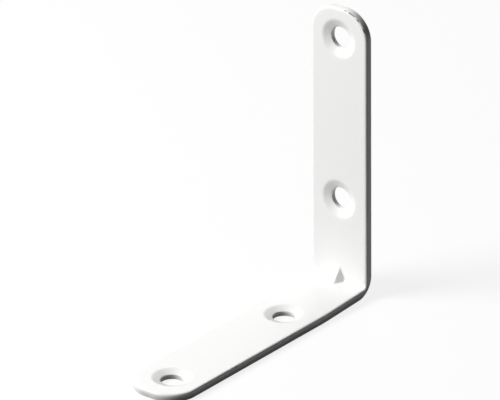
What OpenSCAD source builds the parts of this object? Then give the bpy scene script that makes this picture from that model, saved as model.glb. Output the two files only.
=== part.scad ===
// Angle bracket pressed from one strip of steel: two equal legs at a right angle, two countersunk
// screw holes in each leg, rounded ends, and a small gusset pressed across the inside of the bend.
// The origin is the middle of the base leg's footprint. The base leg lies on Z = 0 and the wall leg
// stands up at the +Y end, so its wall face looks along +Y. All sizes are in millimetres.

/* [Legs] */
// Length of the base leg, from the wall face to its end
base_leg_l = 80; // [60:1:120]
// Length of the wall leg, from the base face to its end
wall_leg_l = 80; // [60:1:120]
// Width of the strip
strip_w = 18; // [16:0.5:25]
// Thickness of the strip, paint included
strip_t = 2.2; // [1.8:0.1:3]
// Radius of the two corners at the end of each leg
end_corner_r = 7.5; // [4:0.5:8]

/* [Edges] */
// Radius of the edge that blanking rolls over, on the inner faces
roll_r = 1.1; // [0.5:0.1:1.3]
// Radius of the paint over the cut edge, on the outer faces
cut_edge_r = 0.2; // [0.1:0.05:0.4]

/* [Bend] */
// Inside radius of the bend
bend_inner_r = 1.1; // [0.6:0.1:2]
// Outside radius of the bend, where the press drew the metal thinner
bend_outer_r = 5.2; // [5:0.1:6.5]

/* [Screw holes] */
// Distance from the end of the base leg to its outer hole
base_hole_end = 9.5; // [8:0.5:12]
// Distance from the end of the wall leg to its outer hole
wall_hole_end = 8.5; // [8:0.5:12]
// Distance between the two holes of a leg
hole_pitch = 45.5; // [25:0.5:46]
// Diameter of the hole that the screw passes through
hole_d = 6; // [4:0.1:7]
// Diameter of the countersink at the inner face
sink_d = 10.5; // [9:0.1:13]
// Depth of the countersink
sink_depth = 0.9; // [0.5:0.05:1.3]
// Radius of the soft lip round the countersink
sink_lip_r = 2.4; // [1:0.1:3]

/* [Gusset] */
// Length of the gusset up the wall leg, from the sharp inner corner
gusset_wall_leg = 3.8; // [3:0.1:5]
// Length of the gusset along the base leg, from the sharp inner corner
gusset_base_leg = 2.8; // [2.5:0.1:4.5]
// Width of the gusset at the sharp inner corner
gusset_w = 4.6; // [4:0.1:7]
// Radius of the gusset's rounded crest
gusset_nose_r = 0.6; // [0.4:0.1:0.8]
// Metal left between the gusset's crest and the recess behind it
gusset_t = 1.8; // [1.4:0.1:2.2]

/* [Hidden] */
$fn = 96;

// Reach of a cut past the surface that it opens
cut_over = 1;
half_w = strip_w / 2;

// Turn about X that lays a wedge along the gusset's crest, from the wall leg down to the base leg
crest_turn = atan2(gusset_base_leg, -gusset_wall_leg);
// Crest height of the gusset above the sharp inner corner, square to the crest
gusset_h = gusset_wall_leg * gusset_base_leg / norm([gusset_wall_leg, gusset_base_leg]);
// Distance between the sharp inner and the sharp outer corner
corner_gap = strip_t * sqrt(2);
// The crest circle, and the flank that is tangent to it
nose_y = gusset_h - gusset_nose_r;
nose_reach = sqrt(pow(gusset_w / 2, 2) + pow(nose_y, 2));
flank_tilt = atan2(nose_y, gusset_w / 2) + asin(gusset_nose_r / nose_reach);
// Angle between the countersink's cone and the inner face
sink_tilt = atan2(sink_depth, (sink_d - hole_d) / 2);
// Length of face and of cone that the soft lip takes
lip_run = sink_lip_r * tan(sink_tilt / 2);

// What the rolled edge takes off the section at the inner face
module roll_cut(reach) {
    translate([reach - roll_r, strip_t - roll_r])
        difference() {
            square(roll_r + cut_over);
            circle(roll_r);
        }
}

// What the paint's radius takes off the section at the outer face
module paint_cut(reach) {
    translate([reach - cut_edge_r, cut_edge_r])
        difference() {
            translate([0, -cut_edge_r - cut_over])
                square(cut_edge_r + cut_over);
            circle(cut_edge_r);
        }
}

// One side of the strip's section, from the middle out: outer face on Y = 0, inner face on top
module edge_section(reach) {
    difference() {
        square([reach, strip_t]);
        roll_cut(reach);
        paint_cut(reach);
    }
}

// The inner face of the strip with nothing taken off below it
module inner_section() {
    for (side = [0, 1])
        mirror([side, 0])
            difference() {
                translate([0, -cut_over])
                    square([half_w, strip_t + cut_over]);
                roll_cut(half_w);
            }
}

// The outer face of the strip with nothing taken off above it
module outer_section() {
    for (side = [0, 1])
        mirror([side, 0])
            difference() {
                square([half_w, strip_t + cut_over]);
                paint_cut(half_w);
            }
}

// Whole section of the strip
module strip_section() {
    for (side = [0, 1])
        mirror([side, 0])
            edge_section(half_w);
}

// Quarter round at one corner of a leg's end, edges included
module end_corner() {
    rotate_extrude(angle = 90)
        edge_section(end_corner_r);
}

// Plain leg that lies on Z = 0, starts at Y = 0 and ends at Y = run
module leg_strip(run) {
    corner_x = half_w - end_corner_r;
    corner_y = run - end_corner_r;
    // straight stretch
    translate([0, corner_y, 0])
        rotate([90, 0, 0])
            linear_extrude(corner_y)
                strip_section();
    // end between the two corners
    translate([-corner_x, corner_y, 0])
        rotate([90, 0, 90])
            linear_extrude(2 * corner_x)
                edge_section(end_corner_r);
    for (side = [0, 1])
        mirror([side, 0, 0])
            translate([corner_x, corner_y, 0])
                end_corner();
}

// Tool for one screw hole: axis on Z, inner face of the leg at Z = strip_t
module screw_hole() {
    cone_end_r = sink_d / 2 - lip_run * cos(sink_tilt);
    cone_end_y = strip_t - lip_run * sin(sink_tilt);
    translate([0, 0, -cut_over])
        cylinder(d = hole_d, h = strip_t + 2 * cut_over);
    rotate_extrude()
        difference() {
            // cone, and the face that the lip opens
            polygon([
                [0, strip_t - sink_depth],
                [hole_d / 2, strip_t - sink_depth],
                [cone_end_r, cone_end_y],
                [sink_d / 2 + lip_run, strip_t],
                [sink_d / 2 + lip_run, strip_t + cut_over],
                [0, strip_t + cut_over]
            ]);
            // soft lip, tangent to the face and to the cone
            translate([sink_d / 2 + lip_run, strip_t - sink_lip_r])
                circle(sink_lip_r);
        }
}

// Section round the bend from the sharp outer corner, with run of leg on both sides
module turned(radius, run) {
    translate([0, 0, radius])
        linear_extrude(run - radius)
            mirror([0, 1])
                children();
    translate([0, -radius, radius])
        rotate([-90, 0, 90])
            rotate_extrude(angle = 90)
                translate([radius, 0])
                    rotate(90)
                        children();
    translate([0, -radius, 0])
        rotate([90, 0, 0])
            linear_extrude(run - radius)
                children();
}

// Bend with its tight inside and its wider outside, which have different centres
module bend() {
    intersection() {
        turned(bend_inner_r + strip_t, bend_outer_r)
            inner_section();
        turned(bend_outer_r, bend_outer_r + cut_over)
            outer_section();
    }
}

// Leg with its holes, from the end of the bend
module leg(length, end_gap) {
    run = length - bend_outer_r;
    difference() {
        leg_strip(run);
        for (y = [run - end_gap, run - end_gap - hole_pitch])
            translate([0, y, 0])
                screw_hole();
    }
}

// Section across the gusset's crest: flanks tangent to a rounded nose, reaching down by depth
module gusset_section(depth) {
    tip_x = gusset_nose_r * sin(flank_tilt);
    tip_y = nose_y + gusset_nose_r * cos(flank_tilt);
    foot_x = gusset_w / 2 + depth / tan(flank_tilt);
    polygon([[-foot_x, -depth], [foot_x, -depth], [tip_x, tip_y], [-tip_x, tip_y]]);
    translate([0, nose_y])
        circle(gusset_nose_r);
}

// Wedge along the crest, measured from the sharp inner corner
module gusset_wedge(half_run, depth) {
    translate([0, -strip_t, strip_t])
        rotate([crest_turn, 0, 0])
            translate([0, 0, -half_run])
                linear_extrude(2 * half_run)
                    gusset_section(depth);
}

// Pressed gusset: stands in the inner corner and is rooted halfway into the strip
module gusset() {
    root = strip_t / 2;
    span = 2 * (gusset_wall_leg + strip_t);
    intersection() {
        gusset_wedge(span, 0);
        translate([-gusset_w, -root - span, root])
            cube([2 * gusset_w, span, span]);
    }
}

// Recess that the punch leaves behind the gusset, on the outside of the bend
module gusset_recess() {
    translate([0, -gusset_t * cos(crest_turn), -gusset_t * sin(crest_turn)])
        gusset_wedge(2 * bend_outer_r, corner_gap + cut_over);
}

module angle_bracket() {
    color("whitesmoke")
        translate([0, base_leg_l / 2, 0])
            difference() {
                union() {
                    translate([0, -bend_outer_r, 0])
                        rotate([0, 0, 180])
                            leg(base_leg_l, base_hole_end);
                    translate([0, 0, bend_outer_r])
                        rotate([90, 0, 0])
                            leg(wall_leg_l, wall_hole_end);
                    bend();
                    gusset();
                }
                gusset_recess();
            }
}

angle_bracket();
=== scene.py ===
"""Dresses the angle bracket: the pressed strip as one smooth skin, its white paint, and the studio.

Lengths are in metres, in the row frame: the base leg lies on Z = 0 and points to -Y, the wall leg
stands up at the +Y end, and X runs across the strip."""
import logging
import math
from dataclasses import dataclass, field
from enum import Enum
from typing import Callable, Union

import bmesh
import bpy
from mathutils import Matrix, Vector


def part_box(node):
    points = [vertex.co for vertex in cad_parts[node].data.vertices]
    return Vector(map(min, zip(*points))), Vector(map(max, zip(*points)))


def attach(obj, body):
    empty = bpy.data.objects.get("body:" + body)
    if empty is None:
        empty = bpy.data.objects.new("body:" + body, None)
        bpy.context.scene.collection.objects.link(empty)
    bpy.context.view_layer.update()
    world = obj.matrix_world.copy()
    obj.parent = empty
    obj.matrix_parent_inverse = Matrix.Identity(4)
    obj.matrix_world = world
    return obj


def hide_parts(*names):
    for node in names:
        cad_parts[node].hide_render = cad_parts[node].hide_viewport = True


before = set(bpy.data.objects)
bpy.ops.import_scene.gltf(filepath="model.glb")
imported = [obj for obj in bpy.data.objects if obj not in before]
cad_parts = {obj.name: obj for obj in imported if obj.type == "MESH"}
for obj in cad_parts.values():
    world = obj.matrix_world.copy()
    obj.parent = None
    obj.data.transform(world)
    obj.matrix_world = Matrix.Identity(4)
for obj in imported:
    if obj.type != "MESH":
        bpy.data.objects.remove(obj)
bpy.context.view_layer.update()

MM = 0.001
NODE = "angle_bracket"
BODY = "root"
SLOT = "white_paint"
PIECE = "pressed_strip"
# Vertex layer that holds the share of painted shade on the strip's sides
SIDE_SHADE_LAYER = "painted_side_shade"
IMAGE_WIDTH_PX = 500.0
SENSOR_MM = 36.0
# Vertices nearer to each other than this are one
MERGE_GAP = 0.01 * MM
# Share of Z in a face's normal, up to which it is upright and from which it is level
UPRIGHT_SHARE = 0.1
LEVEL_SHARE = 0.9
NOISE_MEAN = 0.5
# Numbers of a Mix node's colour sockets, whose names it uses twice
MIX_FIRST, MIX_SECOND, MIX_RESULT = 6, 7, 2

Colour = tuple[float, float, float, float]
Edges = list[bmesh.types.BMEdge]
Number = Union["Wire", float]

log = logging.getLogger("bracket")


def soft_max(first: float, second: float, blend: float) -> float:
    """The larger of two numbers, rounded over where they differ by less than blend."""
    gap = max(blend - abs(first - second), 0.0)
    return max(first, second) + gap * gap / (4 * blend)


def share_of(value: float, start: float, end: float) -> float:
    """How far a value is on the way from start to end, held between 0 and 1."""
    return min(1.0, max(0.0, (value - start) / (end - start)))


def direction(azimuth: float, elevation: float) -> Vector:
    """Unit vector at degrees round Z, 0 on the -Y side and 90 on the +X side, and degrees up."""
    turn, rise = math.radians(azimuth), math.radians(elevation)
    return Vector((math.sin(turn) * math.cos(rise), -math.cos(turn) * math.cos(rise), math.sin(rise)))


class Sheet(Enum):
    """The two faces of the flat strip."""

    OUTER = "outer"
    INNER = "inner"


class Wire:
    """A number that flows through the shader nodes, with Python's arithmetic."""

    def __init__(self, graph: "Graph", socket: bpy.types.NodeSocket) -> None:
        """Wraps one output socket of a graph."""
        self.graph = graph
        self.socket = socket

    def _math(self, operation: str, first: Number, second: Number) -> "Wire":
        """Adds a Math node on two numbers and wraps its result."""
        return self.graph.value("ShaderNodeMath", {"operation": operation}, {0: first, 1: second})

    def __add__(self, other: Number) -> "Wire":
        """self + other"""
        return self._math("ADD", self, other)

    def __radd__(self, other: Number) -> "Wire":
        """other + self"""
        return self._math("ADD", other, self)

    def __sub__(self, other: Number) -> "Wire":
        """self - other"""
        return self._math("SUBTRACT", self, other)

    def __rsub__(self, other: Number) -> "Wire":
        """other - self"""
        return self._math("SUBTRACT", other, self)

    def __mul__(self, other: Number) -> "Wire":
        """self * other"""
        return self._math("MULTIPLY", self, other)

    def __rmul__(self, other: Number) -> "Wire":
        """other * self"""
        return self._math("MULTIPLY", other, self)

    def size(self) -> "Wire":
        """The number without its sign."""
        return self._math("ABSOLUTE", self, 0.0)

    def root(self) -> "Wire":
        """The number's square root."""
        return self._math("SQRT", self, 0.0)

    def clamped(self) -> "Wire":
        """The number held between 0 and 1."""
        return self._math("MINIMUM", self._math("MAXIMUM", self, 0.0), 1.0)

    def ramp(self, start: float, run: float) -> "Wire":
        """0 up to start, 1 past start + run, and straight between them."""
        return ((self - start) * (1 / run)).clamped()


class Graph:
    """The node tree of one material or world."""

    def __init__(self, owner: Union[bpy.types.Material, bpy.types.World]) -> None:
        """Empties the owner's node tree.

        Args:
            owner: The material or world that the nodes belong to.
        """
        owner.use_nodes = True
        self.tree = owner.node_tree
        self.tree.nodes.clear()

    def node(self, kind: str, settings: dict, inputs: dict) -> bpy.types.ShaderNode:
        """Adds one node.

        Args:
            kind: Blender's type name of the node.
            settings: Properties of the node, set before its sockets.
            inputs: Value, Wire or socket for each input, by name or number.

        Returns:
            The new node.
        """
        made = self.tree.nodes.new(kind)
        for name, value in settings.items():
            setattr(made, name, value)
        for key, value in inputs.items():
            source = value.socket if isinstance(value, Wire) else value
            if isinstance(source, bpy.types.NodeSocket):
                self.tree.links.new(source, made.inputs[key])
            else:
                made.inputs[key].default_value = source
        return made

    def value(self, kind: str, settings: dict, inputs: dict, output: Union[str, int] = 0) -> Wire:
        """Adds one node as node() does, and wraps one of its outputs."""
        return Wire(self, self.node(kind, settings, inputs).outputs[output])

    def rays(self, *kinds: str) -> Wire:
        """Tells some rays from the others.

        Args:
            kinds: Names of the Light Path outputs that count.

        Returns:
            1 for a ray of one of these kinds, and 0 for any other.
        """
        path = self.node("ShaderNodeLightPath", {}, {})
        found = Wire(self, path.outputs[kinds[0]])
        for kind in kinds[1:]:
            found = found + Wire(self, path.outputs[kind])
        return found.clamped()


@dataclass(frozen=True)
class WhitePaint:
    """Satin white stoving paint over pressed steel, chipped at one corner, with painted shade on the
    strip's sides that face away from the key lamp.
    """

    colour: Colour = (0.85, 0.855, 0.84, 1.0)
    # Painted shade on the sides that face away from the key lamp, near the outer face
    side_shade_colour: Colour = (0.30, 0.305, 0.295, 1.0)
    chip_colour: Colour = (0.10, 0.10, 0.10, 1.0)
    ior: float = 1.5
    roughness: float = 0.34
    roughness_swing: float = 0.10
    side_shade_roughness: float = 0.25
    # How far a noise makes the painted side shade uneven
    shade_noise_share: float = 0.35
    shade_noise_size: float = 16.0 * MM
    shade_noise_detail: float = 2.0
    peel_size: float = 1.5 * MM
    peel_detail: float = 1.5
    peel_height: float = 0.012 * MM
    grit_size: float = 0.35 * MM
    grit_detail: float = 2.0
    grit_height: float = 0.002 * MM
    # The chips follow a circle round this X and Z, from a start beside and above its middle
    chip_centre: tuple[float, float] = (1.5 * MM, 72.5 * MM)
    chip_start: tuple[float, float] = (-0.5 * MM, 2.0 * MM)
    chip_start_run: float = 0.5 * MM
    chip_r: float = 7.3 * MM
    chip_w: float = 0.11 * MM
    chip_edge_share: float = 0.25
    # They stay on the wall leg's inner face, at a lower Y than this
    chip_end_y: float = 39.0 * MM
    chip_end_run: float = 0.25 * MM
    # They are dashes where a noise of this size is past its threshold
    chip_length: float = 1.1 * MM
    chip_detail: float = 1.0
    chip_threshold: float = 0.5
    chip_noise_run: float = 1 / 14

    def material(self) -> bpy.types.Material:
        """Builds the material.

        Returns:
            The paint, ready for a material slot.
        """
        made = bpy.data.materials.new(SLOT)
        graph = Graph(made)
        place = graph.node("ShaderNodeTexCoord", {}, {}).outputs["Object"]
        shade_noise = self._noise(graph, place, self.shade_noise_size, self.shade_noise_detail) - NOISE_MEAN
        peel = self._noise(graph, place, self.peel_size, self.peel_detail)
        grit = self._noise(graph, place, self.grit_size, self.grit_detail)
        # Painted shade: darkens the sides facing away from the key lamp, most on the base leg near the
        # floor, with rougher paint there
        side_shade = graph.value("ShaderNodeAttribute", {"attribute_name": SIDE_SHADE_LAYER}, {}, "Fac")
        side_shade_share = (side_shade + shade_noise * self.shade_noise_share * side_shade).clamped()
        painted = self._mix(graph, side_shade_share, self.colour, self.side_shade_colour)
        chipped = self._mix(graph, self._chips(graph, place), painted, self.chip_colour)
        swing = (peel - NOISE_MEAN) * self.roughness_swing
        relief = peel * self.peel_height + grit * self.grit_height
        bump = graph.node("ShaderNodeBump", {}, {"Strength": 1.0, "Distance": 1.0, "Height": relief})
        shader = graph.node("ShaderNodeBsdfPrincipled", {}, {
            "Base Color": chipped,
            "Roughness": self.roughness + swing + side_shade * self.side_shade_roughness,
            "Normal": bump.outputs["Normal"],
            "IOR": self.ior,
        })
        graph.node("ShaderNodeOutputMaterial", {}, {"Surface": shader.outputs["BSDF"]})
        return made

    def _chips(self, graph: Graph, place: bpy.types.NodeSocket) -> Wire:
        """Where the paint is chipped: short dashes along one corner of the wall leg's end.

        Args:
            graph: The graph that the nodes go into.
            place: Coordinates in metres.

        Returns:
            1 in a chip and 0 elsewhere.
        """
        split = graph.node("ShaderNodeSeparateXYZ", {}, {0: place}).outputs
        x = Wire(graph, split["X"]) - self.chip_centre[0]
        z = Wire(graph, split["Z"]) - self.chip_centre[1]
        from_line = ((x * x + z * z).root() - self.chip_r).size()
        line = (self.chip_w - from_line).ramp(0.0, self.chip_edge_share * self.chip_w)
        inside = (self.chip_end_y - Wire(graph, split["Y"])).ramp(0.0, self.chip_end_run)
        beside = x.ramp(self.chip_start[0], self.chip_start_run)
        over = z.ramp(self.chip_start[1], self.chip_start_run)
        noise = self._noise(graph, place, self.chip_length, self.chip_detail)
        return line * inside * beside * over * noise.ramp(self.chip_threshold, self.chip_noise_run)

    def _mix(self, graph: Graph, share: Wire, first: Union[Colour, bpy.types.NodeSocket],
             second: Colour) -> bpy.types.NodeSocket:
        """The first colour where share is 0, the second where it is 1, and mixed between."""
        inputs = {"Factor": share, MIX_FIRST: first, MIX_SECOND: second}
        return graph.node("ShaderNodeMix", {"data_type": "RGBA"}, inputs).outputs[MIX_RESULT]

    def _noise(self, graph: Graph, place: bpy.types.NodeSocket, size: float, detail: float) -> Wire:
        """A noise from 0 to 1 with features of one size, and octaves of finer detail."""
        inputs = {"Vector": place, "Scale": 1.0 / size, "Detail": detail}
        return graph.value("ShaderNodeTexNoise", {}, inputs, "Fac")


@dataclass
class ScrewHole:
    """Plain hole with a wide coined countersink, as seen in section."""

    bore_r: float = 3.0 * MM
    sink_r: float = 5.25 * MM
    sink_depth: float = 0.9 * MM
    lip_r: float = 2.4 * MM
    lip_steps: int = 4
    rim_r: float = 0.08 * MM
    # Middle point of the rim between bore and cone, outwards and down, in shares of its radius
    rim_middle: tuple[float, float] = (0.25, 0.2)
    # Rings on the outer face lie this far outside the bore and the countersink
    outer_ring_gap: float = 0.5 * MM

    def rings(self, sheet: Sheet, thickness: float) -> list[tuple[float, float]]:
        """Radius and height of each ring, from the bore outwards.

        Args:
            sheet: The face of the strip that the rings belong to.
            thickness: Thickness of the strip.

        Returns:
            Pairs of radius and height over the outer face.
        """
        if sheet is Sheet.OUTER:
            rim = [(self.bore_r + self.rim_r * (1 - math.cos(turn)), self.rim_r * (1 - math.sin(turn)))
                   for turn in (0.0, math.pi / 4, math.pi / 2)]
            return rim + [(radius + self.outer_ring_gap, 0.0) for radius in (self.bore_r, self.sink_r)]
        tilt = math.atan2(self.sink_depth, self.sink_r - self.bore_r)
        lip_run = self.lip_r * math.tan(tilt / 2)
        floor = thickness - self.sink_depth
        out, down = self.rim_middle
        found = [(self.bore_r, floor - self.rim_r),
                 (self.bore_r + out * self.rim_r, floor - down * self.rim_r)]
        cone_start = self.bore_r + self.rim_r
        cone_end = self.sink_r - lip_run * math.cos(tilt)
        for radius in (cone_start, (cone_start + cone_end) / 2):
            found.append((radius, floor + (radius - self.bore_r) * math.tan(tilt)))
        for step in range(self.lip_steps + 1):
            turn = tilt * (1 - step / self.lip_steps)
            found.append((self.sink_r + lip_run - self.lip_r * math.sin(turn),
                          thickness - self.lip_r * (1 - math.cos(turn))))
        return found


@dataclass
class PressedStrip:
    """The whole bracket: a flat blank with its holes, folded and pressed like the real one."""

    width: float
    base_leg: float
    wall_leg: float
    thickness: float = 2.2 * MM
    end_corner_r: float = 7.5 * MM
    roll_r: float = 1.3 * MM
    roll_profile: float = 0.75
    roll_steps: int = 8
    cut_edge_r: float = 0.3 * MM
    cut_edge_profile: float = 0.5
    cut_edge_steps: int = 3
    # A vertex up to this far above the cut edge's radius still belongs to the outer face
    cut_edge_margin: float = 0.1 * MM
    bend_inner_r: float = 1.1 * MM
    bend_outer_r: float = 5.2 * MM
    base_hole_end: float = 9.5 * MM
    wall_hole_end: float = 8.5 * MM
    hole_pitch: float = 45.5 * MM
    hole: ScrewHole = field(default_factory=ScrewHole)
    gusset_wall_leg: float = 3.8 * MM
    gusset_base_leg: float = 2.8 * MM
    gusset_w: float = 4.6 * MM
    gusset_nose_r: float = 0.6 * MM
    gusset_t: float = 1.8 * MM
    gusset_blend: float = 0.3 * MM
    # The base leg rises by these degrees from this far before the wall face, and the wall leg takes
    # the rise up between these two heights
    rise_tilt: float = 2.75
    rise_start: float = 19.5 * MM
    rise_blend: float = 1.5 * MM
    rise_fade: tuple[float, float] = (7.5 * MM, 19.5 * MM)
    # The painted side shade is none at the first height over the outer face and full from the second
    # down
    side_shade_heights: tuple[float, float] = (1.6 * MM, 0.9 * MM)
    # The wall leg's sides take this share of the painted shade
    wall_shade_share: float = 0.1
    # The columns next to a side keep this far from it, clear of the rolled edge, and the pull draws
    # the others towards the middle
    columns: int = 36
    edge_column: float = 1.9 * MM
    middle_pull: float = 0.5
    bend_rows: int = 30
    near_row: float = 0.8 * MM
    far_row: float = 1.6 * MM
    patch_shares: tuple[float, ...] = (0.2, 0.4, 1.0)
    soften_levels: int = 1

    @property
    def bend_run(self) -> float:
        """Length that the bend takes in the flat blank: its path along the inner face."""
        straight = self.bend_outer_r - self.thickness - self.bend_inner_r
        return 2 * straight + self.bend_inner_r * math.pi / 2

    def column_x(self, index: int) -> float:
        """Place of one column of vertices across the strip.

        Args:
            index: Number of the column, from 0 at -X.

        Returns:
            Its X.
        """
        half = self.width / 2
        if index == 0:
            return -half
        if index == self.columns:
            return half
        share = 2 * (index - 1) / (self.columns - 2) - 1
        pulled = share * (1 - self.middle_pull + self.middle_pull * share * share)
        return (half - self.edge_column) * pulled

    def end_side(self, low: float, end: float, share: float) -> Vector:
        """A point on the left side of a leg's end, up to the middle of its corner.

        Args:
            low: Where the side starts along the leg.
            end: Where the leg ends.
            share: How far along the side the point is, from 0 to 1.

        Returns:
            The point, flat.
        """
        straight = end - self.end_corner_r - low
        reach = share * (straight + self.end_corner_r * math.pi / 4)
        if reach <= straight:
            return Vector((-self.width / 2, low + reach, 0))
        turn = (reach - straight) / self.end_corner_r
        return Vector((-self.width / 2 + self.end_corner_r * (1 - math.cos(turn)),
                       low + straight + self.end_corner_r * math.sin(turn), 0))

    def end_top(self, end: float, share: float) -> Vector:
        """A point on the end of a leg, from the middle of its left corner to its centre line.

        Args:
            end: Where the leg ends.
            share: How far the point is, from 0 at the corner to 1 at the centre line.

        Returns:
            The point, flat.
        """
        flat = self.width / 2 - self.end_corner_r
        reach = (1 - share) * (flat + self.end_corner_r * math.pi / 4)
        if reach <= flat:
            return Vector((-reach, end, 0))
        turn = (reach - flat) / self.end_corner_r
        return Vector((-flat - self.end_corner_r * math.sin(turn),
                       end - self.end_corner_r * (1 - math.cos(turn)), 0))

    def patch_outline(self, low: float, high: float, rounded: bool) -> Callable[[int], Vector]:
        """Border of the square patch round one hole.

        Args:
            low: Start of the patch along the leg.
            high: End of the patch along the leg.
            rounded: True for the patch at the leg's rounded end.

        Returns:
            A function from a vertex's number to its place, counted from the middle of the far
            side towards -X.
        """
        side = self.columns
        half = side // 2

        def place(index: int) -> Vector:
            """Where one vertex of the border lies.

            Args:
                index: Number of the vertex.

            Returns:
                Its place, flat.
            """
            mirrored = index > 2 * side
            step = 4 * side - index if mirrored else index
            if step <= half:
                if rounded:
                    spot = self.end_top(high, 1 - step / half)
                else:
                    spot = Vector((self.column_x(half - step), high, 0))
            elif step <= half + side:
                share = (half + side - step) / side
                if rounded:
                    spot = self.end_side(low, high, share)
                else:
                    spot = Vector((-self.width / 2, low + (high - low) * share, 0))
            else:
                spot = Vector((self.column_x(step - half - side), low, 0))
            if mirrored:
                spot.x = -spot.x
            return spot

        return place

    def add_patch(self, blank: bmesh.types.BMesh, sheet: Sheet, centre: float, low: float,
                  high: float, rounded: bool) -> None:
        """Adds the rings round one hole, out to the border of its patch.

        Args:
            blank: The flat blank.
            sheet: The face that the patch belongs to.
            centre: Place of the hole along the leg.
            low: Start of the patch along the leg.
            high: End of the patch along the leg.
            rounded: True for the patch at the leg's rounded end.
        """
        segments = 4 * self.columns
        border = self.patch_outline(low, high, rounded)
        rings = self.hole.rings(sheet, self.thickness)
        shares = [0.0] * len(rings) + list(self.patch_shares)
        rings += [rings[-1]] * len(self.patch_shares)
        circles = []
        previous = []
        for level in range(len(rings)):
            # A stack of equal circles, which the next loop puts in their places
            made = bmesh.ops.create_circle(
                blank, cap_ends=False, radius=self.hole.sink_r, segments=segments,
                matrix=Matrix.Translation((0, centre, level * MM)),
            )["verts"]
            edges = list({edge for vertex in made for edge in vertex.link_edges})
            if previous:
                bmesh.ops.bridge_loops(blank, edges=previous + edges)
            previous = edges
            circles.append(made)
        for made, (radius, height), share in zip(circles, rings, shares):
            for index, vertex in enumerate(made):
                turn = 2 * math.pi * index / segments
                near = Vector((-radius * math.sin(turn), centre + radius * math.cos(turn), height))
                spot = border(index)
                spot.z = height
                vertex.co = near.lerp(spot, share)

    def add_grid(self, blank: bmesh.types.BMesh, sheet: Sheet, low: float, high: float,
                 rows: int) -> None:
        """Adds a plain stretch of the strip.

        Args:
            blank: The flat blank.
            sheet: The face that the stretch belongs to.
            low: Start of the stretch along the leg.
            high: End of the stretch along the leg.
            rows: Number of rows of faces.
        """
        # A unit square, which the next loop puts in its place
        made = bmesh.ops.create_grid(
            blank, x_segments=self.columns, y_segments=rows, size=0.5,
            matrix=Matrix.Translation((0.5, 0.5, 0)),
        )["verts"]
        height = self.thickness if sheet is Sheet.INNER else 0.0
        for vertex in made:
            column = round(vertex.co.x * self.columns)
            vertex.co = (self.column_x(column), low + (high - low) * vertex.co.y, height)

    def add_leg(self, blank: bmesh.types.BMesh, sheet: Sheet, run: float, end_gap: float) -> None:
        """Adds one face of one flat leg, from the bend at 0 to its end.

        Args:
            blank: The flat blank.
            sheet: The face of the strip.
            run: Length of the leg past the bend.
            end_gap: Distance from the leg's end to its outer hole.
        """
        far = run - end_gap
        near = far - self.hole_pitch
        half = self.width / 2
        self.add_patch(blank, sheet, far, far - half, run, True)
        self.add_patch(blank, sheet, near, near - half, near + half, False)
        stretches = ((0.0, near - half, self.near_row), (near + half, far - half, self.far_row))
        for low, high, row in stretches:
            self.add_grid(blank, sheet, low, high, max(1, round((high - low) / row)))

    def flat_blank(self) -> bmesh.types.BMesh:
        """The blank before folding: both faces, their rims and the bores, closed.

        Returns:
            The blank, with the bend from 0 to bend_run along Y and the outer face on Z = 0.
        """
        blank = bmesh.new()
        for sheet in Sheet:
            self.add_leg(blank, sheet, self.wall_leg - self.bend_outer_r, self.wall_hole_end)
        bmesh.ops.translate(blank, verts=blank.verts, vec=(0, self.bend_run, 0))
        wall = set(blank.verts)
        for sheet in Sheet:
            self.add_leg(blank, sheet, self.base_leg - self.bend_outer_r, self.base_hole_end)
        base = [vertex for vertex in blank.verts if vertex not in wall]
        bmesh.ops.scale(blank, verts=base, vec=(1, -1, 1))
        for sheet in Sheet:
            self.add_grid(blank, sheet, 0.0, self.bend_run, self.bend_rows)
        bmesh.ops.remove_doubles(blank, verts=blank.verts, dist=MERGE_GAP)
        self._close(blank)
        self._round_rims(blank)
        return blank

    def _close(self, blank: bmesh.types.BMesh) -> None:
        """Joins the two faces at the outline and in each bore.

        Args:
            blank: The flat blank with open borders.
        """
        loops = self._loops([edge for edge in blank.edges if edge.is_boundary])
        # The two long outlines come first, then the two rims of each bore, to a tenth of a mm
        loops.sort(key=lambda loop: (-len(loop), round(self._middle(loop).y, 4)))
        for first, second in zip(loops[::2], loops[1::2]):
            bmesh.ops.bridge_loops(blank, edges=first + second)
        bmesh.ops.recalc_face_normals(blank, faces=blank.faces)

    def _loops(self, edges: Edges) -> list[Edges]:
        """Sorts open edges into their loops.

        Args:
            edges: Edges that border only one face.

        Returns:
            One list of edges for each loop.
        """
        left = set(edges)
        found = []
        while left:
            loop = []
            stack = [left.pop()]
            while stack:
                edge = stack.pop()
                loop.append(edge)
                for vertex in edge.verts:
                    for other in vertex.link_edges:
                        if other in left:
                            left.discard(other)
                            stack.append(other)
            found.append(loop)
        return found

    def _middle(self, loop: Edges) -> Vector:
        """Mean place of a loop's vertices.

        Args:
            loop: The loop's edges.

        Returns:
            Their mean.
        """
        total = Vector()
        for edge in loop:
            total += (edge.verts[0].co + edge.verts[1].co) / 2
        return total / len(loop)

    def _round_rims(self, blank: bmesh.types.BMesh) -> None:
        """Rolls the inner rim and paints over the outer one.

        Args:
            blank: The closed flat blank.
        """
        rims = (
            (self.thickness, self.roll_r, self.roll_steps, self.roll_profile),
            (0.0, self.cut_edge_r, self.cut_edge_steps, self.cut_edge_profile),
        )
        for height, radius, steps, profile in rims:
            rim = [edge for edge in blank.edges if self._is_rim(edge, height)]
            bmesh.ops.bevel(blank, geom=rim, offset=radius, offset_type="OFFSET", segments=steps,
                            profile=profile, affect="EDGES", material=-1, loop_slide=True)

    def _is_rim(self, edge: bmesh.types.BMEdge, height: float) -> bool:
        """True for an edge where a face of the strip meets its side.

        Args:
            edge: Any edge of the flat blank.
            height: Height of the face.

        Returns:
            Whether the edge is on that face's outline.
        """
        level = all(abs(vertex.co.z - height) < MERGE_GAP for vertex in edge.verts)
        if not level or len(edge.link_faces) != 2:
            return False
        low, high = sorted(abs(face.normal.z) for face in edge.link_faces)
        return low < UPRIGHT_SHARE and high > LEVEL_SHARE and not self._near_hole(edge)

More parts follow.
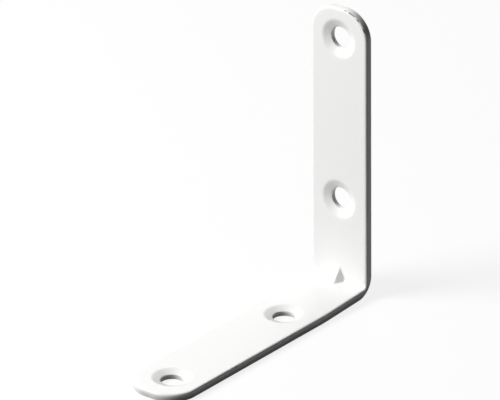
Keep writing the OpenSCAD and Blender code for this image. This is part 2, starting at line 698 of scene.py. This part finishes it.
    def _near_hole(self, edge: bmesh.types.BMEdge) -> bool:
        """True for an edge inside a countersink's circle.

        Args:
            edge: Any edge of the flat blank.

        Returns:
            Whether its first vertex is nearer to a hole's axis than the countersink's radius.
        """
        spot = edge.verts[0].co
        centres = []
        for start, way, run, end_gap in ((0.0, -1, self.base_leg, self.base_hole_end),
                                         (self.bend_run, 1, self.wall_leg, self.wall_hole_end)):
            far = run - self.bend_outer_r - end_gap
            centres += [start + way * far, start + way * (far - self.hole_pitch)]
        return any(math.hypot(spot.x, spot.y - y) < self.hole.sink_r for y in centres)

    def bend_path(self, share: float, depth: float, radius: float) -> tuple[Vector, Vector]:
        """A point on one face of the bend, seen from the side.

        Args:
            share: How far round the bend it is, from 0 at the base leg to 1 at the wall leg.
            depth: Depth of the face under the outer face.
            radius: Radius of the face's arc, which straight stretches lead up to.

        Returns:
            The point beside the sharp outer corner, and the direction towards the outside.
        """
        straight = self.bend_outer_r - depth - radius
        arc = radius * math.pi / 2
        reach = share * (2 * straight + arc)
        if reach < straight:
            return Vector((0, reach - self.bend_outer_r, depth)), Vector((0, 0, -1))
        if reach > straight + arc:
            return Vector((0, -depth, depth + radius + reach - straight - arc)), Vector((0, 1, 0))
        turn = (reach - straight) / radius
        outward = Vector((0, math.sin(turn), -math.cos(turn)))
        return Vector((0, -depth - radius, depth + radius)) + outward * radius, outward

    def folded(self, spot: Vector) -> Vector:
        """Where a point of the flat blank lies once the strip is bent.

        Args:
            spot: A point of the flat blank.

        Returns:
            The point beside the sharp outer corner, which is at the origin.
        """
        if spot.y <= 0:
            return Vector((spot.x, spot.y - self.bend_outer_r, spot.z))
        if spot.y >= self.bend_run:
            return Vector((spot.x, -spot.z, spot.y - self.bend_run + self.bend_outer_r))
        share = spot.y / self.bend_run
        across = Vector((spot.x, 0, 0))
        if spot.z < self.cut_edge_r + self.cut_edge_margin:
            place, outward = self.bend_path(share, 0.0, self.bend_outer_r)
            return across + place - outward * spot.z
        place, outward = self.bend_path(share, self.thickness, self.bend_inner_r)
        return across + place + outward * (self.thickness - spot.z)

    def gusset_height(self, x: float) -> float:
        """Height of the gusset over the sharp inner corner, square to its crest.

        Args:
            x: Place across the strip.

        Returns:
            The height, below zero past the gusset's foot.
        """
        crest = math.hypot(self.gusset_wall_leg, self.gusset_base_leg)
        nose = self.gusset_wall_leg * self.gusset_base_leg / crest - self.gusset_nose_r
        half = self.gusset_w / 2
        tilt = math.atan2(nose, half) + math.asin(self.gusset_nose_r / math.hypot(half, nose))
        side = abs(x)
        if side < self.gusset_nose_r * math.sin(tilt):
            return nose + math.sqrt(self.gusset_nose_r ** 2 - side ** 2)
        return (half - side) * math.tan(tilt)

    def pressed(self, spot: Vector, height: float) -> Vector:
        """Where a point of the bent strip lies once the gusset is pressed.

        Args:
            spot: A point of the bent strip.
            height: Its height in the flat blank, from 0 on the outer face.

        Returns:
            The point, moved square to the gusset's crest.
        """
        away = Vector((0, -self.gusset_wall_leg, self.gusset_base_leg)).normalized()
        corner = Vector((0, -self.thickness, self.thickness))
        now = (spot - corner).dot(away)
        depth = self.gusset_t * (1 - share_of(height, 0.0, self.thickness))
        want = self.gusset_height(spot.x) - depth
        return spot + away * (soft_max(now, want, self.gusset_blend) - now)

    def raised(self, spot: Vector) -> Vector:
        """Where a point lies with the slight rise of the base leg towards the bend.

        Args:
            spot: A point of the pressed strip.

        Returns:
            The point, moved up near the bend. The wall leg takes the rise up over its lower stretch.
        """
        reach = soft_max(0.0, spot.y + self.rise_start, self.rise_blend)
        kept = 1 - share_of(spot.z, *self.rise_fade)
        return spot + Vector((0, 0, reach * math.tan(math.radians(self.rise_tilt)) * kept))

    def side_shade_at(self, vertex: bmesh.types.BMVert) -> float:
        """How much painted shade darkens the side at a vertex of the flat blank.

        Args:
            vertex: A vertex of the flat blank.

        Returns:
            1 on the base leg's +X side, which faces away from the key lamp, and less elsewhere:
            painted shade.
        """
        turned = [(1 - abs(face.normal.z)) * (1 + face.normal.x) / 2 for face in vertex.link_faces]
        depth = share_of(vertex.co.z, *self.side_shade_heights)
        along = share_of(vertex.co.y, 0.0, self.bend_run)
        return max(turned, default=0.0) * depth * (1 - along + along * self.wall_shade_share)

    def build(self) -> bpy.types.Object:
        """Makes the bracket's mesh and puts it in the scene.

        Returns:
            The bracket, with its place in its mesh.
        """
        blank = self.flat_blank()
        side_shade = blank.verts.layers.float.new(SIDE_SHADE_LAYER)
        shift = Vector((0, self.base_leg / 2, 0))
        for vertex in blank.verts:
            flat = vertex.co.copy()
            # Share of painted shade on the sides, for the paint's colour
            vertex[side_shade] = self.side_shade_at(vertex)
            vertex.co = self.raised(self.pressed(self.folded(flat), flat.z)) + shift
        blank.normal_update()
        for face in blank.faces:
            face.smooth = True
        mesh = bpy.data.meshes.new(PIECE)
        blank.to_mesh(mesh)
        blank.free()
        made = bpy.data.objects.new(PIECE, mesh)
        bpy.context.scene.collection.objects.link(made)
        soften = made.modifiers.new("soften", "SUBSURF")
        soften.levels = self.soften_levels
        soften.render_levels = self.soften_levels
        return made

    def dress(self, paint: WhitePaint) -> bpy.types.Object:
        """Makes the piece, paints it and puts it in place of its solid.

        Args:
            paint: The finish.

        Returns:
            The finished piece.
        """
        made = self.build()
        made.data.materials.append(paint.material())
        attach(made, BODY)
        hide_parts(NODE)
        return made


@dataclass
class Lamp:
    """One soft box of the studio: its place round its target in degrees and metres, and its power."""

    name: str
    azimuth: float
    elevation: float
    distance: float
    size: float
    watts: float

    def place(self, target: Vector) -> bpy.types.Object:
        """Adds the lamp.

        Args:
            target: The point that it faces.

        Returns:
            The lamp.
        """
        light = bpy.data.lights.new(self.name, "AREA")
        light.shape = "DISK"
        light.size = self.size
        light.energy = self.watts
        made = bpy.data.objects.new(self.name, light)
        way = direction(self.azimuth, self.elevation)
        made.location = target + way * self.distance
        made.rotation_euler = way.to_track_quat("Z", "Y").to_euler()
        bpy.context.scene.collection.objects.link(made)
        return made


@dataclass
class Studio:
    """Pale floor, world and lamps."""

    floor_size: float = 6.0
    # Keeps the floor clear of the face that the bracket stands on
    floor_gap: float = 0.02 * MM
    floor_colour: Colour = (0.93, 0.93, 0.93, 1.0)
    floor_bounce: Colour = (0.08, 0.08, 0.08, 1.0)
    floor_glow: float = 0.84
    world_colour: Colour = (1.0, 1.0, 1.0, 1.0)
    world_fill: float = 0.06
    # Height that the lamps face, as a share of the object's
    aim_share: float = 1 / 3
    lamps: tuple[Lamp, ...] = (
        Lamp("key", azimuth=-44.0, elevation=37.0, distance=0.8, size=0.48, watts=9.9),
        Lamp("back", azimuth=207.0, elevation=32.0, distance=1.2, size=0.8, watts=3.4),
    )

    def build(self, height: float) -> None:
        """Adds floor, world and lamps.

        Args:
            height: Height of the object on the floor.
        """
        self.floor()
        self.world()
        for lamp in self.lamps:
            lamp.place(Vector((0, 0, height * self.aim_share)))

    def floor(self) -> None:
        """Adds the pale floor, which bounces little light at the bracket's sides."""
        plane = bmesh.new()
        bmesh.ops.create_grid(plane, x_segments=1, y_segments=1, size=self.floor_size / 2,
                              matrix=Matrix.Translation((0, 0, -self.floor_gap)))
        mesh = bpy.data.meshes.new("floor")
        plane.to_mesh(mesh)
        plane.free()
        mesh.materials.append(self.floor_material())
        made = bpy.data.objects.new("floor", mesh)
        bpy.context.scene.collection.objects.link(made)

    def floor_material(self) -> bpy.types.Material:
        """Builds the floor's material.

        Returns:
            Nearly white where it is seen, with shadows on it, and dark to the light it bounces.
        """
        made = bpy.data.materials.new("floor")
        graph = Graph(made)
        seen = graph.rays("Is Camera Ray", "Is Glossy Ray", "Is Transmission Ray")
        shaded = graph.node("ShaderNodeBsdfDiffuse", {}, {"Color": self.floor_colour})
        white = graph.node("ShaderNodeEmission", {}, {"Color": self.world_colour, "Strength": 1.0})
        pale = graph.node("ShaderNodeMixShader", {},
                          {0: self.floor_glow, 1: shaded.outputs[0], 2: white.outputs[0]})
        dark = graph.node("ShaderNodeBsdfDiffuse", {}, {"Color": self.floor_bounce})
        mixed = graph.node("ShaderNodeMixShader", {},
                           {0: seen, 1: dark.outputs[0], 2: pale.outputs[0]})
        graph.node("ShaderNodeOutputMaterial", {}, {"Surface": mixed.outputs[0]})
        return made

    def world(self) -> None:
        """White where the camera sees it, and a weak even fill elsewhere."""
        made = bpy.data.worlds.new("studio")
        bpy.context.scene.world = made
        graph = Graph(made)
        strength = (graph.rays("Is Camera Ray") + self.world_fill).clamped()
        shown = graph.node("ShaderNodeBackground", {},
                           {"Color": self.world_colour, "Strength": strength})
        graph.node("ShaderNodeOutputWorld", {}, {"Surface": shown.outputs[0]})


@dataclass
class PhotoCamera:
    """Camera at the photograph's angle: a long lens from far away, rolled slightly."""

    azimuth: float = 38.9
    elevation: float = 25.88
    roll: float = 0.4
    distance: float = 2.586
    aim_right: float = -24.25 * MM
    aim_up: float = 22.65 * MM
    focal_px: float = 10013.0
    clip_end: float = 20.0

    def place(self, corner: Vector) -> bpy.types.Object:
        """Adds the camera and makes it the scene's.

        Args:
            corner: The sharp outer corner at mid-width, which the aim is measured from.

        Returns:
            The camera.
        """
        back = direction(self.azimuth, self.elevation)
        right = direction(self.azimuth + 90.0, 0.0)
        up = back.cross(right)
        lens = bpy.data.cameras.new("photo_camera")
        lens.lens = self.focal_px / IMAGE_WIDTH_PX * SENSOR_MM
        lens.sensor_width = SENSOR_MM
        lens.clip_end = self.clip_end
        made = bpy.data.objects.new("photo_camera", lens)
        made.location = corner + right * self.aim_right + up * self.aim_up + back * self.distance
        turn = Matrix.Rotation(math.radians(-self.roll), 3, back)
        made.rotation_euler = (turn @ Matrix((right, up, back)).transposed()).to_euler()
        bpy.context.scene.collection.objects.link(made)
        bpy.context.scene.camera = made
        return made


def main() -> None:
    """Builds the piece and the studio."""
    logging.basicConfig(level=logging.INFO, format="%(name)s: %(message)s")
    low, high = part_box(NODE)
    strip = PressedStrip(width=high.x - low.x, base_leg=high.y - low.y, wall_leg=high.z - low.z)
    piece = strip.dress(WhitePaint())
    log.info("%s: %d vertices before softening", piece.name, len(piece.data.vertices))
    Studio().build(high.z)
    PhotoCamera().place(Vector((0, high.y, 0)))
    bpy.context.scene.view_settings.view_transform = "Standard"


if __name__ == "__main__":
    main()
